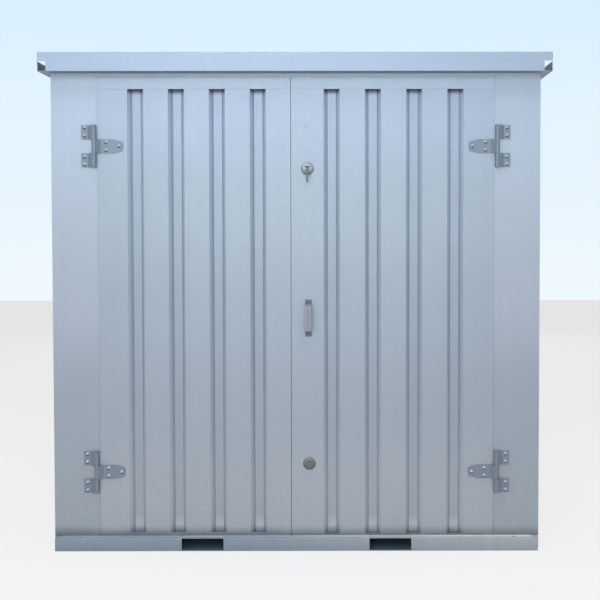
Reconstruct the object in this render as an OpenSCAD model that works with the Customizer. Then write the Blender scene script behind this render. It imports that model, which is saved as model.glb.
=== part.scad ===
// Demountable galvanised steel storage container with double doors, corner posts,
// a base frame with fork pockets and a flat guttered roof.
// +X is to the right of the doors, +Y is to the back, +Z is up; the ground is Z = 0.

/* [Overall] */
// Width over the corner posts
body_w = 2100; // [1900:10:2600]
// Depth from the front faces to the rear faces
body_d = 2046; // [1900:10:2600]
// Height from the ground to the top of the roof fascia
total_h = 2135; // [1900:5:2600]

/* [Base frame] */
// Height of the base channels
base_h = 57; // [54:1:120]
// Thickness of the base steel
base_t = 2.5; // [2:0.5:5]
// Width of the flanges of the base channels
base_flange = 50; // [44:1:80]
// How far the front and rear sills stand out from the faces
sill_out = 36; // [10:1:60]
// How far the base is set in from each side face
base_inset = 9; // [4:1:20]
// Clear width of a fork pocket
fork_w = 180; // [140:5:240]
// Distance between the centres of the fork pockets
fork_pitch = 810; // [600:10:1000]
// Number of floor joists
joists = 3; // [3:2:5]
// Distance between floor joists
joist_pitch = 700; // [680:10:740]
// Width of a joist's flanges
joist_w = 45; // [30:5:60]
// Thickness of the floor boards
floor_t = 18; // [12:1:27]
// Play between the floor boards and the walls
floor_play = 3; // [1:0.5:6]

/* [Corner posts] */
// Thickness of the folded post and header sheet
post_t = 2; // [1.5:0.5:4]
// Width of a post's return along the side wall
post_return = 70; // [40:5:120]
// Width of a rear post's face
rear_post_face = 110; // [60:5:160]
// Clear width between the front posts
opening_w = 1711; // [1500:1:1800]
// Width of the door stops behind the leaves
stop_w = 22; // [12:1:30]
// Depth of the lip behind each door stop
stop_lip = 20; // [8:1:40]

/* [Ribbed sheets] */
// Thickness of the ribbed sheets
sheet_t = 0.8; // [0.6:0.1:1.5]
// Distance between the centres of two wall grooves
rib_pitch = 176; // [160:1:180]
// Width of a groove at its mouth
rib_w = 69; // [60:1:90]
// Width of a groove's floor
rib_floor = 36; // [20:1:50]
// Depth of a groove
rib_depth = 29; // [15:1:32]
// Grooves on each wall panel
wall_ribs = 5; // [3:1:5]
// Depth of the edge flanges that join the wall panels
panel_flange = 25; // [12:1:28]

/* [Doors] */
// Place of the seam between the leaves, right of the middle
seam_x = -20; // [-60:1:60]
// Clearance between the two leaves
seam_gap = 7; // [6:0.5:10]
// Clearance round the leaves at the posts, header and stops
door_gap = 5; // [5:0.5:8]
// Clearance between the leaves and the sill
sill_gap = 6; // [5:0.5:12]
// Depth of a leaf behind its front sheet
leaf_depth = 40; // [36:1:60]
// Thickness of the leaf frame sections
leaf_t = 1.5; // [1:0.5:3]
// Width of the vertical leaf sections
stile_w = 40; // [25:1:50]
// Height of the channel along the top of a leaf
cap_h = 49.5; // [30:0.5:80]
// Height of the left leaf's lip along the bottom
toe_h = 9; // [5:1:14]
// Height of the rear flange along the bottom of a leaf
heel_h = 40; // [20:1:60]
// Grooves on each leaf
leaf_ribs = 4; // [3:1:4]
// From the left leaf's hinge edge to the middle of its first groove
left_rib_inset = 162; // [145:1:175]
// From the right leaf's hinge edge to the middle of its first groove
right_rib_inset = 166; // [145:1:175]
// From the left leaf's seam edge to the middle of its last groove
left_seam_land = 140; // [132:1:180]
// From the right leaf's seam edge to the middle of its last groove
right_seam_land = 170; // [160:1:180]

/* [Hinges] */
// How far the middle of the upper hinges lies below the top of the leaves
hinge_top = 294; // [150:1:500]
// Height of the lower hinges above the sill
hinge_low = 279; // [150:1:500]
// Radius of the hinge pin
pin_r = 6; // [4:0.5:7]
// Radial play of the strap's eye on the pin
pin_play = 0.05; // [0.02:0.01:0.1]
// Outer radius of the hinge eyes
eye_r = 10; // [9:0.5:12]
// Distance from the pin axis out to the leaf edge
pin_to_leaf = 13; // [12:0.5:16]
// Play between the eyes and the faces behind them
eye_play = 1; // [0.5:0.1:2]
// Thickness of the hinge plates
plate_t = 5; // [3:0.5:6]
// From the pin axis to where the plates start to rise to their eyes
crank = 28; // [24:1:32]
// Height of the strap and its eye
strap_h = 59; // [40:1:80]
// Reach of the strap along the leaf from the pin axis
strap_reach = 121; // [100:1:135]
// Length of the tapered end of the strap
strap_taper = 40; // [20:1:60]
// Width of the strap's blunt tip
strap_tip = 42; // [20:1:56]
// Radius of the corners of the strap's tip
strap_corner = 6; // [2:0.5:9]
// Height of each post tab
tab_h = 59.5; // [40:0.5:80]
// Reach of the post tabs from the pin axis
tab_reach = 57; // [40:1:80]
// Gap between the eyes along the pin
eye_gap = 0.5; // [0.3:0.1:2]
// Height of the rivet head at each end of the pin
pin_head = 2; // [1:0.5:4]
// How far a rivet head reaches past the pin
pin_rim = 1.5; // [1:0.5:3]

/* [Locks and handle] */
// From the seam to the upper lock
upper_lock_in = 69; // [65:1:90]
// From the seam to the lower lock
lower_lock_in = 75; // [65:1:90]
// How far the upper lock lies below the top of the leaves
upper_lock_z = 390; // [300:1:700]
// Height of the lower lock above the sill
lower_lock_z = 315; // [200:1:600]
// Radius of the upper lock's rose
upper_rose_r = 27.5; // [20:0.5:38]
// Radius of the lower lock's rose
lower_rose_r = 27.5; // [20:0.5:38]
// Thickness of a rose
rose_t = 6; // [3:1:12]
// Width of the chamfer round a rose
rose_edge = 8; // [2:0.5:9]
// Radius of a lock cylinder's round upper part
core_r = 8.5; // [7:0.5:9]
// Height of the round part's middle above the middle of the rose
core_up = 8; // [4:0.5:9]
// Width of a lock cylinder's lower part
core_w = 10; // [8:0.5:12]
// How far a lock cylinder reaches below the middle of the rose
core_low = 16; // [12:1:17]
// How far a lock cylinder stands out from its rose
core_out = 3; // [1:0.5:6]
// Width of the keyholes
keyhole_w = 3; // [2.6:0.2:4]
// Length of the keyholes
keyhole_l = 12; // [9:0.5:14]
// Depth of the keyholes
keyhole_d = 6; // [3:0.5:8]
// Width of the lock bodies behind the sheet
lock_w = 62; // [40:1:66]
// Height of the lock bodies
lock_h = 120; // [80:5:180]
// Depth of the lock bodies
lock_d = 22; // [12:1:30]
// From the seam to the pull handle
handle_in = 72; // [60:1:90]
// Height of the handle's middle above the sill
handle_z = 947; // [700:1:1200]
// Overall length of the handle
handle_l = 161; // [120:1:220]
// Width of the handle's bar
handle_w = 28; // [14:1:30]
// Thickness of the handle's bar
handle_t = 5; // [3:0.5:8]
// How far the handle stands off the leaf
handle_out = 42; // [30:1:60]
// Length of each foot of the handle
foot_l = 22; // [14:1:30]
// Thickness of the foot plates
foot_t = 3; // [2:0.5:5]
// How far the legs of the handle lean towards each other
handle_lean = 9; // [4:1:20]
// Radius of the shoot bolts behind the left leaf
bolt_r = 7; // [4:0.5:9]
// Length of the shoot bolts
bolt_l = 260; // [150:10:400]
// From the seam to the shoot bolts
bolt_in = 72; // [66:1:80]
// Gap between the shoot bolts and the sheet before them
bolt_off = 2; // [1:0.5:5]
// From each end of a shoot bolt to its keeper
keeper_in = 65; // [20:5:70]
// Height of a keeper
keeper_h = 30; // [20:1:40]
// Reach of a keeper on each side of its bolt
keeper_side = 7; // [4:1:12]

/* [Keys] */
// Thickness of a key
key_t = 2.2; // [1.6:0.1:2.4]
// Play of the keys in the lock and on their ring
key_play = 0.3; // [0.2:0.05:0.4]
// Radius of a key's bow
bow_r = 11; // [9:0.5:14]
// Radius of the hole in a bow
bow_hole = 3.5; // [3:0.25:4]
// Width of the rim outside the hole
bow_rim = 3.5; // [2:0.5:4]
// Width of a key's blade
blade_w = 8; // [5:0.5:8.5]
// Length of a blade outside its bow
blade_l = 36; // [20:1:45]
// Gap between the bow and the lock
key_neck = 3; // [1:0.5:8]
// Radius of the key ring to the middle of its wire
ring_r = 9; // [8:0.5:10]
// Radius of the key ring's wire
ring_wire = 0.9; // [0.6:0.1:1]

/* [Roof] */
// Height of the front and rear fascias
fascia_h = 80; // [70:1:120]
// How far the fascias stand out from the faces
roof_out = 62; // [40:1:90]
// How far the gutters stand out from the side faces
gutter_w = 38.5; // [30:0.5:60]
// Height of a gutter's outer leg
gutter_h = 41; // [25:1:60]
// Thickness of the fascia and gutter sheet
trim_t = 1.5; // [1:0.5:3]
// Width of the fascia's return over the roof sheet
fascia_return = 40; // [20:1:60]
// Width of the drain cut-out at each end of the fascias
drain_w = 35.5; // [20:0.5:37]
// Height of the drain cut-outs
drain_h = 43; // [30:1:60]
// How far the header shows below the fascia
header_drop = 13; // [8:1:30]
// From the top of the fascia down to the top of the roof frame
roof_drop = 27; // [24:1:36]
// Width of the flanges of the roof frame
rail_flange = 50; // [46:1:70]
// How far the roof sheets reach over the gutters
roof_drip = 18; // [6:1:24]
// Height of the roof ribs
roof_rib_h = 22; // [14:1:22]
// Width of a roof rib at its foot
roof_rib_w = 70; // [50:1:80]
// Width of a roof rib's crest
roof_rib_top = 40; // [20:1:46]
// Distance between two roof ribs
roof_pitch = 180; // [160:1:185]
// Ribs on each roof sheet
roof_ribs = 6; // [4:1:6]
// Distance between the two purlins
purlin_pitch = 700; // [500:10:1000]
// Height of a purlin
purlin_h = 40; // [30:1:48]
// Width of a purlin's flanges
purlin_w = 35; // [20:1:50]

/* [Hidden] */
$fn = 48;
side_x = body_w / 2;
face_y = -body_d / 2;
base_x = side_x - base_inset;
sill_y = face_y - sill_out;
seat_y = face_y + base_flange;
leaf_x = opening_w / 2 - door_gap;
fascia_y = face_y - roof_out;
fascia_z = total_h - fascia_h;
roof_x = side_x + gutter_w;
roof_z = total_h - roof_drop;
header_z = fascia_z - header_drop;
wall_z = fascia_z + post_t;
wall_x = side_x - post_t;
wall_in = wall_x - rib_depth - sheet_t;
rear_y = -face_y - post_t;
rear_in = rear_y - rib_depth - sheet_t;
leaf_z0 = base_h + sill_gap;
leaf_z1 = header_z - door_gap;
leaf_back = face_y + leaf_depth;
stop_y = leaf_back + door_gap;
left_edge = seam_x - seam_gap / 2;
right_edge = seam_x + seam_gap / 2;
pin_x = leaf_x + pin_to_leaf;
pin_y = face_y - eye_play - eye_r;
sheet_z0 = leaf_z0 + leaf_t;
sheet_z1 = leaf_z1 - leaf_t;
hinge_top_z = leaf_z1 - hinge_top;
hinge_low_z = base_h + hinge_low;
upper_lock_x = seam_x + upper_lock_in;
lower_lock_x = seam_x + lower_lock_in;
upper_lock_mid = leaf_z1 - upper_lock_z;
lower_lock_mid = base_h + lower_lock_z;
// A small overlap that makes the pieces of one solid join
bond = 0.5;
// How far a cut runs past the faces that it opens
cut = 1;

// ---- folded sheet profiles ----

function reversed(list) = [for (i = [len(list) - 1 : -1 : 0]) list[i]];
function left_normal(a, b) = [a[1] - b[1], b[0] - a[0]] / norm(b - a);
// The path moved to its left by t, with mitred corners
function shifted(path, t) = [for (i = [0 : len(path) - 1])
    let (last = len(path) - 1,
         before = left_normal(path[max(i - 1, 0)], path[max(i, 1)]),
         after = left_normal(path[min(i, last - 1)], path[min(i + 1, last)]))
    path[i] + t * (before + after) / (1 + before * after)];
// Outline of a sheet of thickness t folded along the path, with t to the path's left
function folded(path, t) = concat(path, reversed(shifted(path, t)));
// count places spread evenly from first to last
function spread(first, last, count) = [for (i = [0 : count - 1])
    first + (last - first) * i / (count - 1)];
// One groove or rib of the given mouth, floor and depth, centred on c
function groove(c, mouth, floor_w, depth) = [
    [c - mouth / 2, 0], [c - floor_w / 2, depth], [c + floor_w / 2, depth], [c + mouth / 2, 0]];
function grooves(centres) = [for (c = centres) each groove(c, rib_w, rib_floor, rib_depth)];

// A profile drawn in Y and Z, extruded along X from x0 to x1
module along_x(x0, x1) {
    translate([x0, 0, 0]) rotate([90, 0, 90]) linear_extrude(x1 - x0) children();
}
// A profile drawn in X and Z, extruded along Y from y0 to y1
module along_y(y0, y1) {
    translate([0, y1, 0]) rotate([90, 0, 0]) linear_extrude(y1 - y0) children();
}
module along_z(z0, z1) {
    translate([0, 0, z0]) linear_extrude(z1 - z0) children();
}
module block(low, high) {
    translate(low) cube(high - low);
}
module other_side() { mirror([1, 0, 0]) children(); }
module other_end() { mirror([0, 1, 0]) children(); }

// ---- base frame ----

module fork_cuts(width, z0, z1) {
    for (side = [-1, 1])
        block([side * fork_pitch / 2 - width / 2, sill_y - cut, z0],
              [side * fork_pitch / 2 + width / 2, seat_y + cut, z1]);
}

module front_sill() {
    color("slategray") difference() {
        union() {
            along_x(-base_x, base_x)
                polygon(folded([[seat_y, base_h], [sill_y, base_h], [sill_y, 0],
                    [sill_y + base_flange, 0]], base_t));
            for (x = [-base_x, base_x - base_t])
                block([x, sill_y, 0], [x + base_t, seat_y, base_h]);
        }
        fork_cuts(fork_w, base_t, base_h - base_t);
        difference() {
            fork_cuts(fork_w + 2 * base_t, -cut, base_h + cut);
            block([-side_x, sill_y - 2 * cut, -2 * cut],
                  [side_x, sill_y + base_t, base_h + 2 * cut]);
        }
    }
}

module base_side_rail() {
    color("slategray") along_y(seat_y, -seat_y)
        polygon(folded([[base_x - base_flange, 0], [base_x, 0], [base_x, base_h],
            [base_x - base_flange, base_h]], base_t));
}

module fork_pocket() {
    outer_w = fork_w + 2 * base_t;
    color("dimgray") translate([fork_pitch / 2, 0, 0]) difference() {
        block([-outer_w / 2, sill_y + base_t, 0], [outer_w / 2, -sill_y - base_t, base_h]);
        block([-fork_w / 2, sill_y, base_t], [fork_w / 2, -sill_y, base_h - base_t]);
    }
}

module floor_joists() {
    first = -(joists - 1) / 2 * joist_pitch;
    color("slategray") for (i = [0 : joists - 1])
        translate([first + i * joist_pitch - joist_w / 2, 0, 0]) along_y(seat_y, -seat_y)
            polygon(folded([[joist_w, 0], [0, 0], [0, base_h], [joist_w, base_h]], -base_t));
}

module floor_board(y0, y1) {
    reach = wall_in - floor_play;
    notch_x = opening_w / 2 - stop_w - floor_play;
    notch_y = stop_y + stop_lip + floor_play;
    color("burlywood") difference() {
        block([-reach, y0, base_h], [reach, y1, base_h + floor_t]);
        for (x = [-side_x, notch_x])
            block([x, face_y, base_h - cut],
                  [x + side_x - notch_x, notch_y, base_h + floor_t + cut]);
    }
}

// ---- walls and posts ----

module front_post() {
    jamb_x = opening_w / 2;
    color("lightsteelblue") along_z(base_h, wall_z)
        polygon(folded([[-side_x, face_y + post_return], [-side_x, face_y],
            [-jamb_x, face_y], [-jamb_x, stop_y], [stop_w - jamb_x, stop_y],
            [stop_w - jamb_x, stop_y + stop_lip]], post_t));
}

module rear_post() {
    color("lightsteelblue") along_z(base_h, wall_z)
        polygon(folded([[rear_post_face - side_x, -face_y], [-side_x, -face_y],
            [-side_x, -face_y - post_return]], post_t));
}

// Half a wall, from its middle to length, with its outer face on Y = 0
module wall_panel(length) {
    centres = [for (i = [0 : wall_ribs - 1]) (i + 0.5) * rib_pitch];
    path = concat([[0, panel_flange], [0, 0]], grooves(centres),
        [[length, 0], [length, panel_flange]]);
    color("lightsteelblue") along_z(base_h, wall_z) polygon(folded(path, sheet_t));
}

module left_wall_panel() {
    translate([-wall_x, 0, 0]) rotate([0, 0, -90])
        wall_panel(-face_y - post_t);
}

module rear_wall_panel() {
    translate([0, rear_y, 0]) rotate([0, 0, 180]) wall_panel(wall_in);
}

// ---- roof frame and roof ----

module rail_profile(outer) {
    polygon(folded([[outer + rail_flange, roof_z], [outer, roof_z], [outer, wall_z],
        [outer + rail_flange, wall_z]], post_t));
}

module front_header() {
    jamb_x = opening_w / 2;
    color("lightsteelblue") union() {
        along_x(-side_x, side_x) rail_profile(face_y);
        along_x(-jamb_x, jamb_x)
            polygon(folded([[face_y, roof_z - bond], [face_y, header_z],
                [stop_y, header_z]], post_t));
        along_x(stop_w - jamb_x, jamb_x - stop_w)
            polygon(folded([[stop_y - bond, header_z], [stop_y, header_z],
                [stop_y, header_z - stop_w]], post_t));
    }
}

module rear_header() {
    color("lightsteelblue") other_end() along_x(-side_x, side_x) rail_profile(face_y);
}

module top_rail() {
    color("lightsteelblue") along_y(face_y + rail_flange, -face_y - rail_flange)
        rail_profile(-side_x);
}

module roof_purlins() {
    color("lightsteelblue") for (side = [-1, 1])
        translate([side * purlin_pitch / 2 - purlin_w / 2, 0, 0])
            along_y(face_y + rail_flange, -face_y - rail_flange)
                polygon(folded([[purlin_w, roof_z], [0, roof_z], [0, roof_z - purlin_h],
                    [purlin_w, roof_z - purlin_h]], post_t));
}

// Half the roof, from the middle to the fascia
module roof_sheet() {
    edge = -fascia_y - trim_t;
    ribs = [for (i = [0 : roof_ribs - 1])
        each groove((i + 0.5) * roof_pitch, roof_rib_w, roof_rib_top, roof_rib_h)];
    color("lightsteelblue") along_x(-side_x - roof_drip, side_x + roof_drip)
        translate([0, roof_z]) polygon(folded(concat([[0, 0]], ribs, [[edge, 0]]), sheet_t));
}

module gutter() {
    color("lightsteelblue") along_y(fascia_y + trim_t, -fascia_y - trim_t)
        polygon(folded([[side_x, roof_z - bond], [side_x, fascia_z], [roof_x, fascia_z],
            [roof_x, fascia_z + gutter_h]], trim_t));
}

module fascia() {
    color("lightsteelblue") difference() {
        along_x(-roof_x, roof_x)
            polygon(folded([[fascia_y + fascia_return, total_h], [fascia_y, total_h],
                [fascia_y, fascia_z], [face_y, fascia_z]], trim_t));
        for (side = [0, 1]) mirror([side, 0, 0]) {
            block([roof_x - drain_w, fascia_y - cut, fascia_z - cut],
                  [roof_x + cut, fascia_y + trim_t + cut, fascia_z + drain_h]);
            block([side_x, fascia_y + trim_t, fascia_z - cut],
                  [roof_x + cut, face_y + cut, fascia_z + trim_t + cut]);
        }
    }
}

// ---- doors ----

// A leaf's front sheet from x0 to x1, with its front face on the plane of the posts
module leaf_sheet(x0, x1, centres) {
    color("lightsteelblue") translate([0, face_y, 0]) along_z(sheet_z0, sheet_z1)
        polygon(folded(concat([[x0, 0]], grooves(centres), [[x1, 0]]), sheet_t));
}

// A leaf's channels and stiles from x0 to x1; toe is the height of the lip at the bottom
module leaf_frame(x0, x1, toe) {
    cap_y = face_y - leaf_t;
    stile_y = face_y + sheet_t;
    toe_path = toe > 0 ? [[cap_y, leaf_z0 + toe], [cap_y, leaf_z0]] : [[face_y, leaf_z0]];
    color("lightsteelblue") union() {
        along_x(x0, x1)
            polygon(folded([[leaf_back, leaf_z1 - cap_h], [leaf_back, leaf_z1],
                [cap_y, leaf_z1], [cap_y, leaf_z1 - cap_h]], leaf_t));
        along_x(x0, x1)
            polygon(folded(concat(toe_path, [[leaf_back, leaf_z0],
                [leaf_back, leaf_z0 + heel_h]]), leaf_t));
        along_z(leaf_z0, leaf_z1) {
            polygon(folded([[x0 + stile_w, stile_y], [x0, stile_y], [x0, leaf_back - leaf_t],
                [x0 + stile_w, leaf_back - leaf_t]], -leaf_t));
            polygon(folded([[x1 - stile_w, stile_y], [x1, stile_y], [x1, leaf_back - leaf_t],
                [x1 - stile_w, leaf_back - leaf_t]], leaf_t));
        }
    }
}

module left_door_sheet() {
    leaf_sheet(-leaf_x, left_edge,
        spread(left_rib_inset - leaf_x, left_edge - left_seam_land, leaf_ribs));
}

module right_door_sheet() {
    leaf_sheet(right_edge, leaf_x,
        spread(right_edge + right_seam_land, leaf_x - right_rib_inset, leaf_ribs));
}

module left_door_bolts() {
    back_y = face_y + sheet_t;
    bolt_x = seam_x - bolt_in;
    side = bolt_r + keeper_side;
    color("gray") for (z = [sheet_z0, sheet_z1 - bolt_l]) {
        translate([bolt_x, back_y + bolt_off + bolt_r, z]) cylinder(h = bolt_l, r = bolt_r);
        for (mid = [z + keeper_in, z + bolt_l - keeper_in])
            block([bolt_x - side, back_y, mid - keeper_h / 2],
                  [bolt_x + side, back_y + bolt_off + bolt_r, mid + keeper_h / 2]);
    }
}

// ---- locks and handle ----

// A round rose with the face of its lock cylinder; turn is the angle of the keyhole
module lock_rose(x, z, r, turn) {
    color("silver") translate([x, face_y, z]) rotate([90, 0, 0]) difference() {
        union() {
            cylinder(h = rose_t / 2, r = r);
            translate([0, 0, rose_t / 2]) cylinder(h = rose_t / 2, r1 = r, r2 = r - rose_edge);
            linear_extrude(rose_t + core_out) {
                translate([0, core_up]) circle(core_r);
                translate([-core_w / 2, -core_low]) square([core_w, core_low + core_up]);
            }
        }
        translate([0, core_up, rose_t + core_out]) rotate([0, 0, turn])
            cube([keyhole_w, keyhole_l, 2 * keyhole_d], center = true);
    }
}

module lock_body(z) {
    x0 = right_edge + stile_w;
    color("dimgray") block([x0, face_y + sheet_t, z - lock_h / 2],
        [x0 + lock_w, face_y + sheet_t + lock_d, z + lock_h / 2]);
}

// A key in X and Y with its bow's middle at the origin and its blade towards +Y
module key_outline(blade) {
    tip = bow_r + blade;
    difference() {
        union() {
            circle(bow_r);
            polygon([[-blade_w / 2, 0], [blade_w / 2, 0], [blade_w / 2, tip - blade_w / 2],
                [0, tip], [-blade_w / 2, tip - blade_w / 2]]);
        }
        translate([0, bow_rim + bow_hole - bow_r]) circle(bow_hole);
    }
}

// A key in the upper lock, its ring, and a second key that hangs from the ring
module lock_keys() {
    key_z = upper_lock_mid + core_up;
    bow_y = face_y - rose_t - core_out - key_neck - bow_r;
    ring_y = bow_y - bow_r + bow_rim / 2;
    ring_z = key_z + key_t / 2 + key_play + ring_wire - ring_r;
    spare_z = ring_z - ring_r + ring_wire + key_play + bow_rim - bow_r;
    color("silver") translate([upper_lock_x, 0, 0]) {
        translate([0, bow_y, key_z - key_t / 2])
            linear_extrude(key_t) key_outline(key_neck + keyhole_d - key_play);
        translate([0, ring_y, ring_z]) rotate([0, 90, 0])
            rotate_extrude() translate([ring_r, 0]) circle(ring_wire);
        translate([0, ring_y - key_t / 2, spare_z]) rotate([-90, 0, 0])
            linear_extrude(key_t) key_outline(blade_l);
    }
}

module pull_handle() {
    half = handle_l / 2;
    foot = half - foot_l;
    mid_x = seam_x + handle_in;
    upper = [[foot - handle_lean, handle_out - handle_t], [foot, 0], [half, 0],
        [half, foot_t], [foot + handle_t, foot_t], [foot + handle_t - handle_lean, handle_out]];
    lower = [for (p = reversed(upper)) [-p[0], p[1]]];
    color("silver") translate([0, face_y, base_h + handle_z])
        along_x(mid_x - handle_w / 2, mid_x + handle_w / 2)
            polygon([for (p = concat(upper, lower)) [-p[1], p[0]]]);
}

// ---- hinges, drawn for the left leaf, with the pin axis on X = Y = 0 and the hinge's
// middle on Z = 0; the faces of the post and leaf lie at Y = eye_r + eye_play ----

module at_hinge(z) {
    translate([-pin_x, pin_y, z]) children();
}

// A plate in X and Y, flat from reach to the crank and rising from there to the eye
module cranked_plate(reach) {
    foot = [crank, eye_r + eye_play - plate_t];
    roll = eye_r - bond;
    touch = roll * (roll * foot + sqrt(foot * foot - roll * roll) * [foot[1], -foot[0]])
        / (foot * foot);
    polygon(folded([[reach, foot[1]], foot, touch], -plate_t));
}

module hinge_plate() {
    tab_z = strap_h / 2 + eye_gap;
    color("gray") union() {
        translate([0, 0, -tab_z - tab_h]) cylinder(h = 2 * (tab_z + tab_h), r = pin_r);
        for (z = [tab_z, -tab_z - tab_h]) {
            translate([0, 0, z]) cylinder(h = tab_h, r = eye_r);
            mirror([1, 0, 0]) along_z(z, z + tab_h) cranked_plate(tab_reach);
        }
        for (z = [tab_z + tab_h, -tab_z - tab_h - pin_head])
            translate([0, 0, z]) cylinder(h = pin_head, r = pin_r + pin_rim);
    }
}

module strap_outline() {
    straight = strap_reach - strap_taper;
    polygon([[0, -strap_h / 2], [straight, -strap_h / 2],
        [strap_reach - strap_corner, -strap_tip / 2], [strap_reach, strap_corner - strap_tip / 2],
        [strap_reach, strap_tip / 2 - strap_corner], [strap_reach - strap_corner, strap_tip / 2],
        [straight, strap_h / 2], [0, strap_h / 2]]);
}

module hinge_strap() {
    color("gray") difference() {
        union() {
            intersection() {
                along_z(-strap_h, strap_h) cranked_plate(strap_reach + cut);
                along_y(-eye_r - cut, eye_r + eye_play + cut) strap_outline();
            }
            translate([0, 0, -strap_h / 2]) cylinder(h = strap_h, r = eye_r);
        }
        translate([0, 0, -strap_h / 2 - cut])
            cylinder(h = strap_h + 2 * cut, r = pin_r + pin_play);
    }
}

front_sill();  // base_front_sill
other_end() front_sill();  // base_rear_sill
other_side() base_side_rail();  // base_left_rail
base_side_rail();  // base_right_rail
other_side() fork_pocket();  // fork_pocket_left
fork_pocket();  // fork_pocket_right
floor_joists();
floor_board(stop_y, 0);  // floor_board_front
floor_board(0, rear_in - floor_play);  // floor_board_rear
front_post();  // post_front_left
other_side() front_post();  // post_front_right
rear_post();  // post_rear_left
other_side() rear_post();  // post_rear_right
left_wall_panel();  // left_wall_front
other_end() left_wall_panel();  // left_wall_rear
other_side() left_wall_panel();  // right_wall_front
other_side() other_end() left_wall_panel();  // right_wall_rear
rear_wall_panel();  // rear_wall_left
other_side() rear_wall_panel();  // rear_wall_right
front_header();
rear_header();
top_rail();  // left_top_rail
other_side() top_rail();  // right_top_rail
roof_purlins();
other_end() roof_sheet();  // roof_sheet_front
roof_sheet();  // roof_sheet_rear
other_side() gutter();  // roof_gutter_left
gutter();  // roof_gutter_right
fascia();  // roof_front_fascia
other_end() fascia();  // roof_rear_fascia
left_door_sheet();
leaf_frame(-leaf_x, left_edge, toe_h);  // left_door_frame
left_door_bolts();
right_door_sheet();
leaf_frame(right_edge, leaf_x, 0);  // right_door_frame
lock_rose(upper_lock_x, upper_lock_mid, upper_rose_r, 90);  // upper_lock_rose
lock_rose(lower_lock_x, lower_lock_mid, lower_rose_r, 0);  // lower_lock_rose
lock_body(upper_lock_mid);  // upper_lock_body
lock_body(lower_lock_mid);  // lower_lock_body
lock_keys();
pull_handle();
at_hinge(hinge_top_z) hinge_plate();  // hinge_plate_upper_left
at_hinge(hinge_low_z) hinge_plate();  // hinge_plate_lower_left
other_side() at_hinge(hinge_top_z) hinge_plate();  // hinge_plate_upper_right
other_side() at_hinge(hinge_low_z) hinge_plate();  // hinge_plate_lower_right
at_hinge(hinge_top_z) hinge_strap();  // hinge_strap_upper_left
at_hinge(hinge_low_z) hinge_strap();  // hinge_strap_lower_left
other_side() at_hinge(hinge_top_z) hinge_strap();  // hinge_strap_upper_right
other_side() at_hinge(hinge_low_z) hinge_strap();  // hinge_strap_lower_right
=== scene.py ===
"""Looks of a small galvanised steel storage container with two ribbed door leaves.

Lengths are in metres, and colours are written as display values from 0 to 255.
"""

import math
import random

import bmesh
import bpy
from mathutils import Matrix, Vector


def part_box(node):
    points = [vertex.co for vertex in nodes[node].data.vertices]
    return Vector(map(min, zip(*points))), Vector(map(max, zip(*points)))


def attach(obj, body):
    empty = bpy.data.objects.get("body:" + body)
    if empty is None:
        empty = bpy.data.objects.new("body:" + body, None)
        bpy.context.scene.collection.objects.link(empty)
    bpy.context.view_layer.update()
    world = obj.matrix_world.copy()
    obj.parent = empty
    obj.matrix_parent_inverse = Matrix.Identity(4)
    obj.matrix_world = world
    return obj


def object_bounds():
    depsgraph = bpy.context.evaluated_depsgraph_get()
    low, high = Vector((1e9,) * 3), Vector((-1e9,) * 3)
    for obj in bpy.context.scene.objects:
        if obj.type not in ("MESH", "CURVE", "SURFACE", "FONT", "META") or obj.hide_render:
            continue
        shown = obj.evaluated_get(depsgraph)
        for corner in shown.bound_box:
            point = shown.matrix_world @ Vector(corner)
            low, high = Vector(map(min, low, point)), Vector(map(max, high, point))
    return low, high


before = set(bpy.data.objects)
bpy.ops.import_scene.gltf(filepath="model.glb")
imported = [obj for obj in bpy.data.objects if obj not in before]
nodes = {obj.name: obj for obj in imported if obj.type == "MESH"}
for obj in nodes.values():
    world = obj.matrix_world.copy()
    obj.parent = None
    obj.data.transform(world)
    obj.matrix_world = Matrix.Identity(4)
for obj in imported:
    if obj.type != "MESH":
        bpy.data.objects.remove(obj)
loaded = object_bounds()
chance = random.Random(11)

# ---------------------------------------------------------------- places from the CAD

# A corner nearer than ON_PLANE to a plane lies on it, and one nearer than AT_END to the end
# of a node belongs to that end. The channel along the top of a leaf is lower than CHANNEL_MAX.
ON_PLANE, AT_END, CHANNEL_MAX = 0.0002, 0.001, 0.2


def corners(part):
    """The corners of a CAD node's mesh in the scene."""
    shape = nodes[part]
    return [shape.matrix_world @ v.co for v in shape.data.vertices]


def lower_edge(part):
    """The height of the lower edge of the channel along the top of a leaf's frame."""
    front = min(v.y for v in corners(part))
    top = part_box(part)[1].z
    face = [v for v in corners(part) if v.y < front + ON_PLANE]
    return min(v.z for v in face if v.z > top - CHANNEL_MAX)


def front_of(part, axis, value):
    """How far forward a CAD node reaches at its end at a value on the x or z axis."""
    return min(v.y for v in corners(part) if abs(getattr(v, axis) - value) < AT_END)


def side(part):
    """-1 for the pieces on the left, 1 for those on the right."""
    low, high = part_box(part)
    return math.copysign(1.0, (low.x + high.x) / 2)


TOP = loaded[1][2]
FACE_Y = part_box("post_front_left")[0].y
POST_END = -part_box("post_front_left")[0].x
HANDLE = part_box("pull_handle")

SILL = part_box("base_front_sill")
SILL_REACH, SILL_END, SILL_TOP = -SILL[0].y, SILL[1].x, SILL[1].z

# The grooves of the leaves' sheets run from the face back to the bed. They end at the top
# under the channel of the leaf's frame.
DOOR_SHEET_T = 0.0008
GROOVE_FACE = min(v.y for v in corners("left_door_sheet"))
GROOVE_BED = max(v.y for v in corners("left_door_sheet")) - DOOR_SHEET_T
GROOVE_TOP = lower_edge("left_door_frame")

# ---------------------------------------------------------------- colours and node trees


def linear(red, green, blue):
    """A display colour, 0 to 255, as the linear values that shaders use."""
    out = []
    for value in (red, green, blue):
        v = value / 255
        out.append(v / 12.92 if v <= 0.04045 else ((v + 0.055) / 1.055) ** 2.4)
    return (*out, 1.0)


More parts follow.
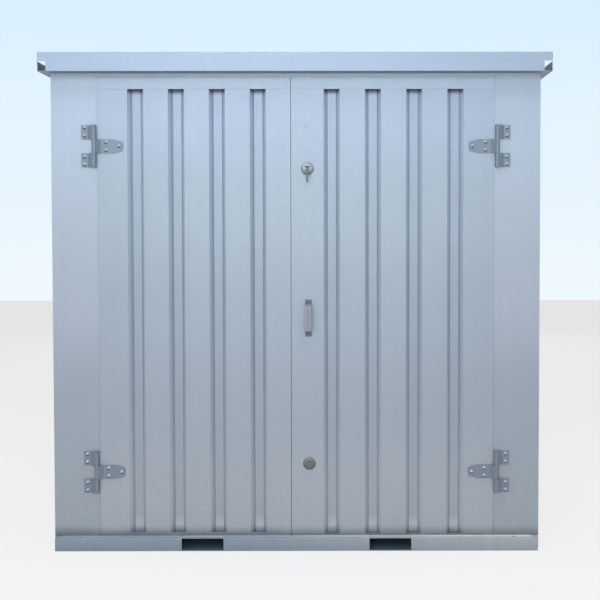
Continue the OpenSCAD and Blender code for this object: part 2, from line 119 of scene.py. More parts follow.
class Tree:
    """A node tree with short calls for the nodes used here."""

    def __init__(self, owner):
        owner.use_nodes = True
        self.tree = owner.node_tree
        self.tree.nodes.clear()

    def node(self, kind, values=(), **settings):
        """A node with its settings, and with its inputs set or linked by name or number."""
        made = self.tree.nodes.new(kind)
        for key, value in settings.items():
            setattr(made, key, value)
        for socket, value in dict(values).items():
            self.put(made.inputs[socket], value)
        return made

    def put(self, socket, value):
        """Links another node's output to an input, or gives the input a plain value."""
        if isinstance(value, bpy.types.NodeSocket):
            self.tree.links.new(value, socket)
        else:
            socket.default_value = value

    def math(self, operation, a, b=0.0, c=0.0):
        """One operation on up to three values."""
        return self.node("ShaderNodeMath", {0: a, 1: b, 2: c}, operation=operation).outputs[0]

    def times(self, *factors):
        """The product of two or more values."""
        product = factors[0]
        for factor in factors[1:]:
            product = self.math("MULTIPLY", product, factor)
        return product

    def gain(self, mask, amount):
        """A factor that is 1 where the mask is 0, and 1 + amount where the mask is 1."""
        return self.math("MULTIPLY_ADD", mask, amount, 1.0)

    def about_one(self, value, spread):
        """A pattern from 0 to 1 as a factor that varies about 1."""
        return self.math("MULTIPLY_ADD", value, 2 * spread, 1 - spread)

    def span(self, value, low, high, start=0.0, end=1.0):
        """Value from low to high becomes start to end, with soft ends."""
        made = self.node("ShaderNodeMapRange", interpolation_type="SMOOTHSTEP")
        for socket, number in zip(made.inputs, (value, low, high, start, end)):
            self.put(socket, number)
        return made.outputs[0]

    def mix(self, factor, a, b, blend="MIX"):
        """Two colours mixed, or blended in the way named."""
        made = self.node("ShaderNodeMix", data_type="RGBA", blend_type=blend)
        self.put(made.inputs["Factor"], factor)
        self.put([s for s in made.inputs if s.name == "A" and s.type == "RGBA"][0], a)
        self.put([s for s in made.inputs if s.name == "B" and s.type == "RGBA"][0], b)
        return [s for s in made.outputs if s.type == "RGBA"][0]

    def grey(self, value):
        """A value as a grey colour."""
        return self.node("ShaderNodeCombineColor", {0: value, 1: value, 2: value}).outputs[0]

    def shaded(self, colour, shade):
        """A colour made darker or paler by a factor."""
        return self.mix(1.0, colour, self.grey(shade), "MULTIPLY")

    def ramp(self, value, stops):
        """A colour that changes softly with a value, through (value, colour) stops."""
        made = self.node("ShaderNodeValToRGB", {0: value})
        made.color_ramp.interpolation = "EASE"
        elements = made.color_ramp.elements
        while len(elements) < len(stops):
            elements.new(0.5)
        for element, (position, colour) in zip(elements, stops):
            element.position = position
            element.color = colour
        return made.outputs[0]

    def place(self):
        """The place on the piece, which moves with it."""
        return self.node("ShaderNodeTexCoord").outputs["Object"]

    def split(self, vector):
        """The X, Y and Z of a vector, by name."""
        return self.node("ShaderNodeSeparateXYZ", {"Vector": vector}).outputs

    def upward(self):
        """1 on a surface that looks up, 0 on an upright one and -1 on an underside."""
        return self.split(self.node("ShaderNodeNewGeometry").outputs["Normal"])["Z"]

    def stretched(self, source, scale):
        """A place scaled by its own factor on each axis."""
        return self.node("ShaderNodeMapping", {"Vector": source, "Scale": scale}).outputs[0]

    def noise(self, source, scale, detail=2.0, rough=0.5):
        """A cloudy pattern from 0 to 1."""
        values = {"Vector": source, "Scale": scale, "Detail": detail, "Roughness": rough}
        return self.node("ShaderNodeTexNoise", values).outputs[0]

    def bump(self, height, strength, distance):
        """A surface normal that follows a relief."""
        values = {"Strength": strength, "Distance": distance, "Height": height}
        return self.node("ShaderNodeBump", values).outputs[0]

    def surface(self, colour, metallic, roughness, normal):
        """Ends a material's tree with one shader."""
        values = {"Base Color": colour, "Metallic": metallic, "Roughness": roughness}
        shader = self.node("ShaderNodeBsdfPrincipled", {**values, "Normal": normal})
        self.node("ShaderNodeOutputMaterial", {"Surface": shader.outputs[0]})


def new_material(name):
    """An empty material and its node tree."""
    made = bpy.data.materials.new(name)
    return made, Tree(made)


# ---------------------------------------------------------------- painted light and shade, and dirt, on the steel
# Each function here gives a factor on the steel's colour that paints light and shade, and at
# the foot also dirt. It is given the tree, the place on the piece and the X, Y and Z of that place.


def foot_shade_and_dirt(t, place, at):
    """Painted shade near the ground, with some dirt: darker low down, with a ragged upper edge."""
    low, high, foot_darkest = 0.055, 0.105, 0.52
    ragged = t.noise(place, scale=14.0, detail=4.0, rough=0.6)
    height = t.math("ADD", at["Z"], t.math("MULTIPLY_ADD", ragged, 0.024, -0.012))
    # Painted shade, with some dirt, that fades out above the foot.
    return t.span(height, low, high, start=foot_darkest, end=1.0)


def groove_painted_light(t, place, at):
    """Painted light in a leaf's grooves: paler sides, darker beds, paler low beds, shadow below the
    channel.
    """
    sunk = t.span(at["Y"], GROOVE_FACE + 0.001, GROOVE_FACE + 0.003)
    bed = t.span(at["Y"], GROOVE_BED - 0.002, GROOVE_BED - 0.0004)
    sides = t.math("SUBTRACT", sunk, bed)
    # Painted light: the sloped sides of the grooves are made paler, most near the face.
    paler = t.times(sides, t.span(at["Y"], GROOVE_FACE, GROOVE_BED, start=0.75, end=0.12))
    # Painted light: the beds of the grooves are made paler near the ground.
    low_bed_light = t.times(bed, t.span(at["Z"], 0.09, 0.15, start=0.32, end=0.0))
    # Painted shadow of the channel's lower edge at the top of each groove.
    channel_shadow = t.times(sunk, t.span(at["Z"], GROOVE_TOP - 0.026, GROOVE_TOP - 0.002))
    # The beds take a painted shade, four percent darker.
    return t.times(
        t.gain(paler, 1.0), t.gain(bed, -0.04), t.gain(low_bed_light, 1.0), t.gain(channel_shadow, -0.7)
    )


def ledge_painted_light(t, place, at):
    """The top of the base: painted light, palest beside the doors and paler to the right,
    with darker ends."""
    across, out = t.math("ABSOLUTE", at["X"]), t.math("ABSOLUTE", at["Y"])
    top = t.span(at["Z"], SILL_TOP - 0.0015, SILL_TOP - 0.0005)
    inwards = t.span(out, SILL_REACH - 0.030, SILL_REACH - 0.003, start=1.3, end=0.15)
    ends = t.span(across, SILL_END - 0.05, SILL_END)
    to_right = t.span(at["X"], -SILL_END, SILL_END, start=0.6, end=1.2)
    # Painted light on the ledge, in place of light from above, with darker ends.
    painted_light = t.times(inwards, t.math("SUBTRACT", 1.0, ends), to_right)
    painted_light = t.math("SUBTRACT", painted_light, t.times(ends, 0.1))
    return t.gain(t.times(painted_light, top), 1.0)


# ---------------------------------------------------------------- materials


def steel(
    name,
    heights,
    metallic=0.35,
    rough=0.46,
    spangle=0.035,
    cell=0.011,
    streak=0.03,
    cloud=0.03,
    underside_shade=0.0,
    tints=None,
    painted_light_and_dirt=(),
):
    """Zinc coated steel with spangle, rolling streaks and clouds.

    heights lists (metres above the ground, colour), and these colours paint light and shade by
    height. rough is the middle of the roughness. spangle, streak and cloud say how strong each
    pattern is, and cell is the size of a crystal. The underside setting paints shade on the
    undersides, tints are factors on red, green and blue at the left and at the right, and the
    functions from the section above paint light and shade, and dirt.
    """
    made, t = new_material(name)
    place = t.place()
    at = t.split(place)
    stops = [(z / TOP, linear(*colour)) for z, colour in heights]
    base = t.ramp(t.math("DIVIDE", at["Z"], TOP), stops)
    values = {"Vector": place, "Scale": 1 / cell, "Randomness": 1.0}
    cells = t.node("ShaderNodeTexVoronoi", values).outputs["Color"]
    crystal = t.node("ShaderNodeSeparateColor", {"Color": cells}).outputs[0]
    clouds = t.noise(place, scale=1.7, detail=4.0, rough=0.55)
    streaks = t.noise(t.stretched(place, (26, 26, 0.9)), scale=1.0, detail=3.0, rough=0.6)
    shade = t.times(
        t.about_one(crystal, spangle), t.about_one(clouds, cloud), t.about_one(streaks, streak)
    )
    # Painted light and shade, and dirt at the foot, from the functions above.
    for mark in painted_light_and_dirt:
        shade = t.times(shade, mark(t, place, at))
    # Painted shade on surfaces that face down.
    if underside_shade:
        shade = t.times(shade, t.span(t.upward(), -0.9, -0.3, start=1 - underside_shade))
    colour = t.shaded(base, shade)
    if tints:
        left, right = [(*tint, 1.0) for tint in tints]
        tint = t.mix(t.span(at["X"], TINTS_FROM, TINTS_TO), left, right)
        colour = t.mix(1.0, colour, tint, "MULTIPLY")
    roughness = t.math("MULTIPLY_ADD", crystal, 0.10, rough - 0.10)
    roughness = t.math("MULTIPLY_ADD", clouds, 0.10, roughness)
    grain = t.math("MULTIPLY_ADD", t.noise(place, scale=900.0), 0.35, crystal)
    relief = t.math("MULTIPLY_ADD", clouds, 6.0, grain)
    t.surface(colour, metallic, roughness, t.bump(relief, strength=0.5, distance=0.00015))
    return made


def worn(name, colour, metallic, rough, mottle=0.12, scale=160.0, underside_shade=0.0):
    """A small cast, pressed or turned piece: mottled, with painted shade on its undersides and a
    little painted light on its tops when the underside setting is given.
    """
    made, t = new_material(name)
    place = t.place()
    fine = t.noise(place, scale, detail=4.0, rough=0.65)
    broad = t.noise(place, scale / 6, detail=3.0)
    shade = t.times(t.about_one(fine, mottle), t.about_one(broad, mottle * 0.8))
    # Painted shade on undersides and a little painted light on tops.
    if underside_shade:
        shade = t.times(shade, t.span(t.upward(), -0.45, 0.3, start=1 - underside_shade, end=1.1))
    roughness = t.math("MULTIPLY_ADD", fine, 0.2, rough - 0.1)
    tone = t.shaded(linear(*colour), shade)
    t.surface(tone, metallic, roughness, t.bump(fine, strength=0.45, distance=0.0002))
    return made


def grip(name, colour):
    """Brushed aluminium with painted light and shade: darker in the middle of the bar and paler
    at its long edges, with darker feet and paler legs.
    """
    made, t = new_material(name)
    place = t.place()
    at = t.split(place)
    middle, half = (HANDLE[0] + HANDLE[1]) / 2, (HANDLE[1] - HANDLE[0]) / 2
    off_x = t.math("ABSOLUTE", t.math("SUBTRACT", at["X"], middle.x))
    off_z = t.math("ABSOLUTE", t.math("SUBTRACT", at["Z"], middle.z))
    # Painted light and shade across the bar: darker in the middle, paler at its long edges.
    painted_light = t.span(off_x, 0.003, 0.0135, start=0.95, end=1.2)
    # Painted shade on the feet.
    feet = t.span(off_z, half.z - 0.020, half.z - 0.017, start=1.0, end=0.8)
    # Painted light on the legs, which face up or down.
    legs = t.span(t.math("ABSOLUTE", t.upward()), 0.4, 0.8, start=1.0, end=1.9)
    lines = t.noise(t.stretched(place, (1400, 1400, 40)), scale=1.0)
    shade = t.times(painted_light, feet, legs, t.about_one(lines, 0.05))
    roughness = t.math("MULTIPLY_ADD", lines, 0.12, 0.36)
    tone = t.shaded(linear(*colour), shade)
    t.surface(tone, 0.55, roughness, t.bump(lines, strength=0.3, distance=0.0001))
    return made


def plywood(name):
    """Film-faced birch plywood: a brown face with long grain and dark pores."""
    made, t = new_material(name)
    place = t.place()
    along = t.stretched(place, (1.6, 34.0, 34.0))
    bend = t.noise(t.stretched(place, (1.0, 5.0, 5.0)), scale=1.3, detail=3.0)
    bent = t.node("ShaderNodeVectorMath", {0: along, 1: bend}).outputs[0]
    grain = t.noise(bent, scale=1.0, detail=6.0, rough=0.62)
    browns = ((0.25, (112, 78, 50)), (0.5, (139, 101, 66)), (0.75, (158, 120, 84)))
    base = t.ramp(grain, [(value, linear(*colour)) for value, colour in browns])
    specks = t.noise(t.stretched(place, (8.0, 260.0, 260.0)), scale=1.0)
    pores = t.span(specks, 0.62, 0.72)
    colour = t.mix(t.times(pores, 0.35), base, linear(84, 57, 37))
    roughness = t.math("MULTIPLY_ADD", grain, 0.2, 0.5)
    t.surface(colour, 0.0, roughness, t.bump(grain, strength=0.4, distance=0.0004))
    return made


# Display colours by metres above the ground. In the sheet, frame, trim and zinc they are
# painted light of the sky: bluer towards the top, and paler over the upper part.
SHEET = (
    (0.2, (153, 159, 166)),
    (0.64, (145, 153, 164)),
    (1.07, (144, 155, 168)),
    (1.5, (149, 161, 174)),
    (1.93, (155, 168, 186)),
)
FRAME = (
    (0.2, (146, 153, 160)),
    (0.64, (144, 152, 164)),
    (1.1, (155, 164, 176)),
    (1.93, (165, 178, 194)),
    (1.995, (158, 173, 189)),
)
TRIM = ((0.0, (160, 168, 176)), (2.1, (153, 168, 188)))
# The face of the base is darker towards the ground, and its top is made pale as painted light from
# above.
BASE = (
    (0.0, (132, 140, 152)),
    (0.0535, (143, 150, 159)),
    (0.0562, (158, 164, 170)),
    (0.09, (158, 164, 170)),
)
# The fork pocket: paler and bluer at the ground as painted light, near black inside as painted
# shade, and pale on top.
POCKET = (
    (0.0, (112, 138, 152)),
    (0.02, (64, 84, 98)),
    (0.04, (10, 20, 36)),
    (0.0545, (4, 9, 20)),
    (0.0565, (160, 166, 173)),
)
ZINC = ((0.2, (116, 124, 135)), (1.7, (118, 131, 144)))

# Factors on red, green and blue of the base at the left and at the right, and the X where
# the one begins to give way to the other and where it has
BASE_TINTS = ((0.81, 0.87, 0.905), (1.22, 1.15, 1.09))
TINTS_FROM, TINTS_TO = -0.4, 1.0

SHEET_FINISH = {"spangle": 0.02, "cell": 0.009}
BASE_FINISH = {"cell": 0.02, "cloud": 0.08, "streak": 0.06, "rough": 0.55}
POCKET_FINISH = {"cell": 0.02, "cloud": 0.1, "rough": 0.6}
# The trim's undersides take painted shade.
TRIM_FINISH = {"metallic": 0.3, "spangle": 0.015, "streak": 0.015, "underside_shade": 0.5}
ZINC_FINISH = {"metallic": 0.32, "spangle": 0.06, "cell": 0.006, "cloud": 0.05}

looks = {
    "galvanised_sheet": steel("galvanised_sheet_look", SHEET, painted_light_and_dirt=[foot_shade_and_dirt], **SHEET_FINISH),
    "galvanised_frame": steel(
        "galvanised_frame_look", FRAME, rough=0.5, painted_light_and_dirt=[foot_shade_and_dirt], **SHEET_FINISH
    ),
    "roof_trim": steel("roof_trim_look", TRIM, **TRIM_FINISH),
    "base_steel": steel(
        "base_steel_look", BASE, tints=BASE_TINTS, painted_light_and_dirt=[ledge_painted_light], **BASE_FINISH
    ),
    "hinge_zinc": steel("hinge_zinc_look", ZINC, **ZINC_FINISH),
    # The lock takes painted shade on its undersides and a little painted light on its tops.
    "lock_nickel": worn(
        "lock_nickel_look", (142, 152, 153), 0.5, 0.36, mottle=0.2, scale=110.0, underside_shade=0.5
    ),
    "lock_steel": worn("lock_steel_look", (120, 126, 132), 0.7, 0.42),
    "handle_aluminium": grip("handle_aluminium_look", (119, 122, 130)),
    "floor_ply": plywood("floor_ply_look"),
}
door_look = steel("door_sheet_look", SHEET, painted_light_and_dirt=[foot_shade_and_dirt, groove_painted_light], **SHEET_FINISH)
# The lower rose takes painted shade on its undersides and a little painted light on its tops.
rose_look = worn("weathered_rose_look", (104, 105, 104), 0.5, 0.44, mottle=0.2, underside_shade=0.3)
key_look = worn("key_look", (78, 88, 102), 0.6, 0.4, mottle=0.08)
pocket_look = steel("fork_pocket_look", POCKET, painted_light_and_dirt=[ledge_painted_light], **POCKET_FINISH)

# CAD nodes whose look differs from that of their slot
own_looks = {
    "left_door_sheet": door_look,
    "right_door_sheet": door_look,
    "lower_lock_rose": rose_look,
    "lock_keys": key_look,
    "fork_pocket_left": pocket_look,
    "fork_pocket_right": pocket_look,
}
for part, shape in nodes.items():
    slot = shape.data.materials[0].name.split(".")[0]
    shape.data.materials.clear()
    shape.data.materials.append(own_looks.get(part, looks[slot]))

# ---------------------------------------------------------------- edges of the steel

# Angles from which an edge counts as sharp: on an imported mesh, for easing, on a new piece
SHARP_CAD, SHARP_EASED, SHARP_PIECE = math.radians(28), math.radians(35), math.radians(40)


def dress_group():
    """Joins the corners of an imported mesh and sets sharp edges from their angle."""
    group = bpy.data.node_groups.new("joined_edges", "GeometryNodeTree")
    for way in ("INPUT", "OUTPUT"):
        group.interface.new_socket("Geometry", in_out=way, socket_type="NodeSocketGeometry")
    add, link = group.nodes.new, group.links.new
    start, end = add("NodeGroupInput"), add("NodeGroupOutput")
    drop = add("GeometryNodeRemoveAttribute")
    drop.inputs["Name"].default_value = "custom_normal"
    merge = add("GeometryNodeMergeByDistance")
    merge.inputs["Distance"].default_value = 0.00001
    smooth = add("GeometryNodeSetShadeSmooth")
    smooth.domain = "FACE"
    angle = add("GeometryNodeInputMeshEdgeAngle")
    wide = add("FunctionNodeCompare")
    wide.operation = "GREATER_THAN"
    wide.inputs[1].default_value = SHARP_CAD
    sharp = add("GeometryNodeSetShadeSmooth")
    sharp.domain = "EDGE"
    sharp.inputs["Shade Smooth"].default_value = False
    link(start.outputs[0], drop.inputs["Geometry"])
    link(drop.outputs[0], merge.inputs["Geometry"])
    link(merge.outputs[0], smooth.inputs["Geometry"])
    link(smooth.outputs[0], sharp.inputs["Geometry"])
    link(angle.outputs["Unsigned Angle"], wide.inputs[0])
    link(wide.outputs[0], sharp.inputs["Selection"])
    link(sharp.outputs[0], end.inputs[0])
    return group


joined = dress_group()


def ease_edges(part, width):
    """Rounds the edges of a CAD node by a modifier, with its mesh left alone."""
    shape = nodes[part]
    join = shape.modifiers.new("joined", "NODES")
    join.node_group = joined
    bevel = shape.modifiers.new("eased", "BEVEL")
    bevel.width = width
    bevel.segments = 2
    bevel.limit_method = "ANGLE"
    bevel.angle_limit = SHARP_EASED
    bevel.harden_normals = True


# Widths of the eased edges, by the start of the CAD node's name
EASED = {
    "hinge_": 0.0007,
    "post_": 0.0008,
    "base_": 0.0008,
    "front_header": 0.0006,
    "roof_front": 0.0006,
    "roof_rear": 0.0006,
    "roof_gutter": 0.0006,
    "left_door_frame": 0.0005,
    "right_door_frame": 0.0005,
    "pull_handle": 0.0022,
    "upper_lock_rose": 0.0008,
    "lower_lock_rose": 0.0008,
    "lock_keys": 0.0004,
}
for part in nodes:
    for start, width in EASED.items():
        if part.startswith(start):
            ease_edges(part, width)

# ---------------------------------------------------------------- making pieces


def skin(mesh, rings):
    """Joins closed rings of points in their order, and closes both ends."""
    loops = [[mesh.verts.new(point) for point in ring] for ring in rings]
    for one, two in zip(loops, loops[1:]):
        for k in range(len(one)):
            m = (k + 1) % len(one)
            mesh.faces.new((one[k], one[m], two[m], two[k]))
    mesh.faces.new(loops[-1])
    mesh.faces.new(list(reversed(loops[0])))


def revolve(mesh, profile, place, turns=20, six=()):
    """A turned form from rings (radius, height) about the local Z axis of a matrix.
    The rings numbered in six are hexagons instead of circles."""
    rings = []
    for index, (radius, height) in enumerate(profile):
        ring = []
        for k in range(turns):
            a = 2 * math.pi * k / turns
            r = radius
            if index in six:
                r = radius / math.cos((a + math.pi / 6) % (math.pi / 3) - math.pi / 6)
            ring.append(place @ Vector((r * math.cos(a), r * math.sin(a), height)))
        rings.append(ring)
    skin(mesh, rings)


def facing(point, out):
    """A matrix whose local Z axis points out of the surface at that point."""
    turn = Vector(out).to_track_quat("Z", "Y").to_matrix().to_4x4()
    return Matrix.Translation(point) @ turn


def piece(name, mesh, body, slot, look=None):
    """A finished mesh that rides on a CAD body, with its own look or that of its slot."""
    bmesh.ops.recalc_face_normals(mesh, faces=mesh.faces)
    data = bpy.data.meshes.new(name)
    mesh.to_mesh(data)
    mesh.free()
    data.materials.append(look or looks[slot])
    data.polygons.foreach_set("use_smooth", [True] * len(data.polygons))
    data.set_sharp_from_angle(angle=SHARP_PIECE)
    made = bpy.data.objects.new(name, data)
    bpy.context.scene.collection.objects.link(made)
    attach(made, body)


LEFT, RIGHT = (-1, 0, 0), (1, 0, 0)
FRONT, BACK = (0, -1, 0), (0, 1, 0)
DOWN, UP = (0, 0, -1), (0, 0, 1)

# ---------------------------------------------------------------- coach bolts of the hinges

# A post plate has two bolts in each of its two tabs, and a strap has three. The strap's
# are given as (metres in from its inner end, metres above its middle).
TAB_H, TAB_BOLT_IN, TAB_BOLT_OFF = 0.0595, 0.0155, 0.017
STRAP_BOLTS = ((0.071, 0.0166), (0.071, -0.0166), (0.0154, 0.0))


def coach_bolt(mesh, point):
    """A thin washer and a domed head on a front face."""
    r, washer_t, steps = 0.0075, 0.0011, 5
    rings = [(r * 1.12, -0.0004), (r * 1.12, washer_t * 0.7)]
    rings += [(r * 1.04, washer_t), (r * 0.93, washer_t)]
    for k in range(steps):
        a = math.radians(8 + 74 * k / (steps - 1))
        rings.append((r * 0.92 * math.cos(a), washer_t + 0.0008 + r * 0.72 * math.sin(a)))
    revolve(mesh, rings, facing(point, FRONT))


# The bolts take painted shade on their undersides and a little painted light on their tops.
bolt_look = worn(
    "hinge_bolt_look", (160, 172, 184), 0.7, 0.3, mottle=0.08, scale=220.0, underside_shade=0.72
)
bolts = {"frame": bmesh.new(), "left_door": bmesh.new(), "right_door": bmesh.new()}
for hinge in ("upper_left", "lower_left", "upper_right", "lower_right"):
    plate, strap = "hinge_plate_" + hinge, "hinge_strap_" + hinge
    hand = side(plate)
    low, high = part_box(plate)
    outer = hand * max(abs(low.x), abs(high.x))
    for tab in (low.z + TAB_H / 2, high.z - TAB_H / 2):
        for off in (-TAB_BOLT_OFF, TAB_BOLT_OFF):
            x, y = outer - hand * TAB_BOLT_IN, front_of(plate, "x", outer)
            coach_bolt(bolts["frame"], (x, y, tab + off))
    low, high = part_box(strap)
    inner, middle = hand * min(abs(low.x), abs(high.x)), (low.z + high.z) / 2
    body = "left_door" if hand < 0 else "right_door"
    for inwards, above in STRAP_BOLTS:
        x, y = inner + hand * inwards, front_of(strap, "x", inner)
        coach_bolt(bolts[body], (x, y, middle + above))
for body, mesh in bolts.items():
    piece("hinge_bolts_" + body, mesh, body, "hinge_zinc", bolt_look)

# ---------------------------------------------------------------- screws of the handle and base

# The handle's screws lie in from its ends, and off its middle to the left and right. The
# base's screws lie in from its ends, and out from the faces of the posts.
HANDLE_SCREW_IN, HANDLE_SCREW_OFF = 0.0082, 0.0071
BASE_SCREW_IN, BASE_SCREW_OUT = 0.103, 0.021


def button_screw(mesh, point, out, r=0.0068):
    """A low domed screw head with a hexagon socket."""
    rings = [(r, -0.0003), (r, 0.0007), (r * 0.93, 0.0018), (r * 0.74, 0.0028)]
    rings += [(r * 0.52, 0.0032), (r * 0.4, 0.0032), (r * 0.38, 0.0016)]
    revolve(mesh, rings, facing(point, out), turns=24, six=(5, 6))


def flush_screw(mesh, point, out, r=0.0085):
    """A countersunk head that stands 0.6 mm proud, so the leaves swing over it."""
    rings = [(r, -0.0003), (r, 0.0003), (r * 0.94, 0.0006), (r * 0.45, 0.0006)]
    rings += [(r * 0.42, 0.0002)]
    revolve(mesh, rings, facing(point, out), turns=24, six=(3, 4))


mesh = bmesh.new()
low, high = HANDLE
for edge, inwards in ((low.z, HANDLE_SCREW_IN), (high.z, -HANDLE_SCREW_IN)):
    for off in (-HANDLE_SCREW_OFF, HANDLE_SCREW_OFF):
        place = ((low.x + high.x) / 2 + off, front_of("pull_handle", "z", edge), edge + inwards)
        button_screw(mesh, place, FRONT)
screw_look = worn("screw_look", (96, 110, 124), 0.55, 0.45, mottle=0.1, scale=260.0)
piece("handle_screws", mesh, "right_door", "lock_steel", screw_look)

mesh = bmesh.new()
for hand in (-1, 1):
    for end in (-1, 1):
        x, y = hand * (SILL_END - BASE_SCREW_IN), end * (BASE_SCREW_OUT - FACE_Y)
        flush_screw(mesh, (x, y, SILL_TOP), UP)
piece("base_bolts", mesh, "frame", "base_steel", bolt_look)

# ---------------------------------------------------------------- welds of the leaves


def weld(mesh, middle, length=0.016, r=0.0017):
    """A short flat bead of weld along X on a front face."""
    steps, turns = 8, 8
    flat, uneven, blunt = 0.45, 0.18, 0.05
    rings = []
    for k in range(steps + 1):
        a = math.pi * k / steps
        x = -0.5 * length * math.cos(a)
        size = r * max(math.sin(a), blunt) ** 0.5 * (1 + uneven * (chance.random() - 0.5))
        ring = []
        for m in range(turns):
            b = 2 * math.pi * m / turns
            out = Vector((x, flat * size * math.cos(b), size * math.sin(b)))
            ring.append(Vector(middle) + out)
        rings.append(ring)
    skin(mesh, rings)


def lands(part):
    """The middles in X of the flat bands between the grooves of a leaf's sheet."""
    folds = sorted({round(v.x, 4) for v in corners(part) if abs(v.y - FACE_Y) < ON_PLANE})
    return [(a + b) / 2 for a, b in zip(folds[::2], folds[1::2])]


WELD_OUT, WELD_DOWN = 0.0003, 0.0006
weld_look = worn("weld_look", (150, 160, 172), 0.5, 0.5, mottle=0.15, scale=300.0)
for body in ("left_door", "right_door"):
    mesh = bmesh.new()
    for x in lands(body + "_sheet"):
        weld(mesh, (x, FACE_Y - WELD_OUT, lower_edge(body + "_frame") - WELD_DOWN))
    piece(body + "_welds", mesh, body, "galvanised_frame", weld_look)

# ---------------------------------------------------------------- folded lips in the door gaps

DOOR_GAP = 0.005
POST_LIP, SEAM_LIP, FOOT_LIP = 0.0046, 0.0054, 0.005


def lip(mesh, start, end, across, width, depth=0.011):
    """A folded lip from start to end along the front of an edge. It reaches the given
    width across the gap, with a rounded nose set back behind the face."""
    recess, nose, steps = 0.0007, 0.0009, 4
    outline = [(0.0, recess), (width - nose, recess)]
    for k in range(1, steps + 1):
        a = math.pi / 2 * k / steps
        outline.append((width - nose + nose * math.sin(a), recess + nose - nose * math.cos(a)))
    outline += [(width, depth), (0.0, depth)]
    across, back = Vector(across), Vector(BACK)
    skin(mesh, [[Vector(at) + across * u + back * v for u, v in outline] for at in (start, end)])


left_leaf, right_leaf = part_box("left_door_frame"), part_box("right_door_frame")
foot, head = left_leaf[0].z, left_leaf[1].z
jamb, lintel, seam = right_leaf[1].x + DOOR_GAP, head + DOOR_GAP, right_leaf[0].x
cap_front = min(v.y for v in corners("right_door_frame"))
cap_foot = lower_edge("right_door_frame")

mesh = bmesh.new()
lip(mesh, (-jamb, FACE_Y, foot), (-jamb, FACE_Y, lintel), RIGHT, POST_LIP)
lip(mesh, (jamb, FACE_Y, foot), (jamb, FACE_Y, lintel), LEFT, POST_LIP)
lip(mesh, (-jamb, FACE_Y, lintel), (jamb, FACE_Y, lintel), DOWN, POST_LIP)
piece("post_lips", mesh, "frame", "galvanised_frame")

mesh = bmesh.new()
lip(mesh, (seam, FACE_Y, foot), (seam, FACE_Y, head), LEFT, SEAM_LIP)
lip(mesh, (seam, cap_front, cap_foot), (seam, cap_front, head), LEFT, SEAM_LIP)
lip(mesh, (seam, FACE_Y, foot), (right_leaf[1].x, FACE_Y, foot), DOWN, FOOT_LIP)
piece("right_leaf_lips", mesh, "right_door", "galvanised_sheet")

mesh = bmesh.new()
lip(mesh, (left_leaf[0].x, FACE_Y, foot), (left_leaf[1].x, FACE_Y, foot), DOWN, FOOT_LIP)
piece("left_leaf_lip", mesh, "left_door", "galvanised_sheet")

# ---------------------------------------------------------------- feet under the posts

# The posts stand out sideways past the base, and a foot fills the corner under each. It
# stops short of the post's side, top and back, and of the ground.
SHORT_SIDE, SHORT_TOP, SHORT_BACK, SHORT_GROUND = 0.0002, 0.0002, 0.0005, 0.003
mesh = bmesh.new()
for post in ("post_front_left", "post_rear_left"):
    front, back = [corner.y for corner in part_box(post)]
    width, depth = POST_END - SILL_END - SHORT_SIDE, back - front - SHORT_BACK
    for hand in (-1, 1):
        low = (hand * SILL_END, front, SHORT_GROUND)
        high = (hand * SILL_END, front, SILL_TOP - SHORT_TOP)
        lip(mesh, low, high, (hand, 0, 0), width, depth)
piece("post_feet", mesh, "frame", "base_steel")

# ---------------------------------------------------------------- lamps and sky

# name, place, aim, width and height, watts, colour
LAMPS = (
    ("front_key", (-1.1, FACE_Y - 5.4, 4.0), (0, FACE_Y, 1.3), (4.0, 2.2), 90, (0.97, 0.99, 1.0)),
    ("front_low", (-0.25, FACE_Y - 6.5, 1.6), (0, FACE_Y, 1.2), (5.0, 2.4), 115, (0.97, 0.99, 1.0)),
    ("overhead", (0, FACE_Y - 1.4, 7.5), (0, FACE_Y, 1.0), (6.0, 4.0), 230, (0.96, 0.98, 1.0)),
    ("left_soft", (-6.5, 0.7, 3.0), (0, 0.7, 1.1), (3.6, 2.2), 125, (0.98, 0.99, 1.0)),
    ("right_soft", (6.5, 0.7, 3.0), (0, 0.7, 1.1), (3.6, 2.2), 125, (0.98, 0.99, 1.0)),
    ("rear_soft", (0, 7.5, 3.0), (0, 1.0, 1.1), (4.5, 2.2), 150, (0.98, 0.99, 1.0)),
)

# Colours of the sky from straight below, at 0, to straight above, at 1
SKY = (
    (0.0, (238, 247, 254)),
    (0.463, (239, 248, 254)),
    (0.54, (229, 244, 254)),
    (0.614, (218, 240, 254)),
    (1.0, (196, 226, 248)),
)
scene = bpy.context.scene


def lamp(name, place, aim, size, watts, colour):
    """A soft rectangular lamp that the camera doesn't see."""
    data = bpy.data.lights.new(name, "AREA")
    data.shape = "RECTANGLE"
    data.size, data.size_y = size
    data.energy = watts
    data.color = colour
    made = bpy.data.objects.new(name, data)
    made.location = place
    made.rotation_mode = "QUATERNION"
    made.rotation_quaternion = (Vector(aim) - Vector(place)).to_track_quat("-Z", "Y")
    made.visible_camera = False
    scene.collection.objects.link(made)


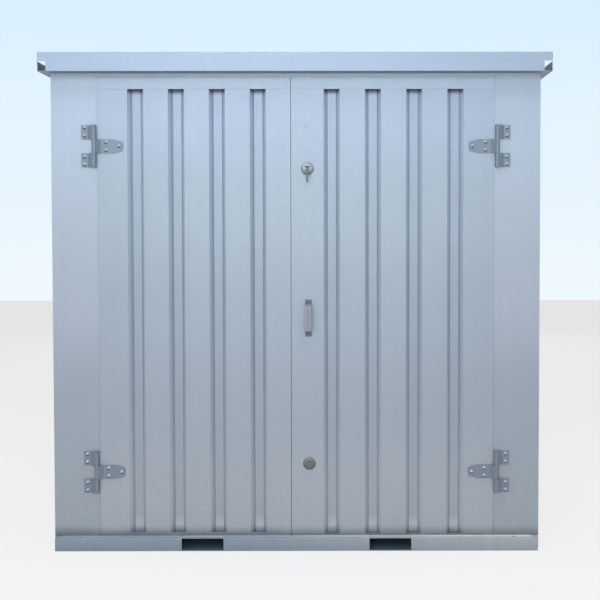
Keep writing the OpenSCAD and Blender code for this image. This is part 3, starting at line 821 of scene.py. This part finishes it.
def studio_sky():
    """A pale sky for camera, gloss and glass rays, and a plain soft light for the others."""
    world = bpy.data.worlds.new("studio_sky")
    t = Tree(world)
    rise = t.split(t.node("ShaderNodeTexCoord").outputs["Generated"])["Z"]
    height = t.math("MULTIPLY_ADD", rise, 0.5, 0.5)
    sky = t.ramp(height, [(value, linear(*colour)) for value, colour in SKY])
    rays = t.node("ShaderNodeLightPath").outputs
    seen = t.math("MAXIMUM", rays["Is Camera Ray"], rays["Is Glossy Ray"])
    seen = t.math("MAXIMUM", seen, rays["Is Transmission Ray"])
    light = t.node("ShaderNodeBackground", {"Color": (0.93, 0.97, 1.0, 1), "Strength": 0.34})
    shown = t.node("ShaderNodeBackground", {"Color": sky, "Strength": 1.0})
    both = t.node("ShaderNodeMixShader", {0: seen, 1: light.outputs[0], 2: shown.outputs[0]})
    t.node("ShaderNodeOutputWorld", {"Surface": both.outputs[0]})
    return world


for row in LAMPS:
    lamp(*row)
scene.world = studio_sky()

# ---------------------------------------------------------------- floor and camera

FLOOR_SIDE, FLOOR_NEAR, FLOOR_FAR, FLOOR_CELLS = 60.0, -60.0, 13.5, 12

# Greys of the floor on the way from one Y, in front of the store, to another, behind it
FLOOR_GREYS = ((0.0, 243), (0.3, 236), (1.0, 238))
FLOOR_GREYS_ALONG = (-3.0, 13.7)
FLOOR_SHOWN = 0.86


def floor_look():
    """A pale floor. The camera sees mostly its plain colour, and some of its shadow."""
    made, t = new_material("studio_floor_look")
    place = t.place()
    stops = [(value, linear(grey, grey, grey)) for value, grey in FLOOR_GREYS]
    tone = t.ramp(t.span(t.split(place)["Y"], *FLOOR_GREYS_ALONG), stops)
    colour = t.shaded(tone, t.about_one(t.noise(place, scale=40.0, detail=3.0), 0.01))
    lit = t.node("ShaderNodeBsdfDiffuse", {"Color": colour})
    plain = t.node("ShaderNodeEmission", {"Color": colour, "Strength": 1.0})
    rays = t.node("ShaderNodeLightPath").outputs
    seen = t.math("MAXIMUM", rays["Is Camera Ray"], rays["Is Glossy Ray"])
    share = t.times(seen, FLOOR_SHOWN)
    both = t.node("ShaderNodeMixShader", {0: share, 1: lit.outputs[0], 2: plain.outputs[0]})
    t.node("ShaderNodeOutputMaterial", {"Surface": both.outputs[0]})
    return made


def floor_plane():
    """A floor from behind the camera to the line where the sky begins."""
    mesh = bmesh.new()
    steps = [k / FLOOR_CELLS for k in range(FLOOR_CELLS + 1)]
    grid = []
    for j in steps:
        y = FLOOR_NEAR + (FLOOR_FAR - FLOOR_NEAR) * j
        grid.append([mesh.verts.new((FLOOR_SIDE * (2 * i - 1), y, 0.0)) for i in steps])
    for near, far in zip(grid, grid[1:]):
        for i in range(FLOOR_CELLS):
            mesh.faces.new((near[i], near[i + 1], far[i + 1], far[i]))
    data = bpy.data.meshes.new("studio_floor")
    mesh.to_mesh(data)
    mesh.free()
    data.materials.append(floor_look())
    made = bpy.data.objects.new("studio_floor", data)
    scene.collection.objects.link(made)


floor_plane()

CAMERA_AT = Vector((0.192, FACE_Y - 4.2, 1.3926))
# In degrees: the turn to the side, the tilt down from level and the roll
CAMERA_PAN, CAMERA_TILT, CAMERA_ROLL = -0.132, 1.823, -0.057
lens = bpy.data.cameras.new("camera")
lens.sensor_width = 36.0
lens.lens = 58.512
lens.shift_x = -0.07167
lens.shift_y = -0.06848
lens.clip_end = 200.0
camera = bpy.data.objects.new("camera", lens)
camera.matrix_world = (
    Matrix.Translation(CAMERA_AT)
    @ Matrix.Rotation(math.radians(CAMERA_PAN), 4, "Z")
    @ Matrix.Rotation(math.radians(90 - CAMERA_TILT), 4, "X")
    @ Matrix.Rotation(math.radians(CAMERA_ROLL), 4, "Z")
)
scene.collection.objects.link(camera)
scene.camera = camera
scene.view_settings.view_transform = "Standard"
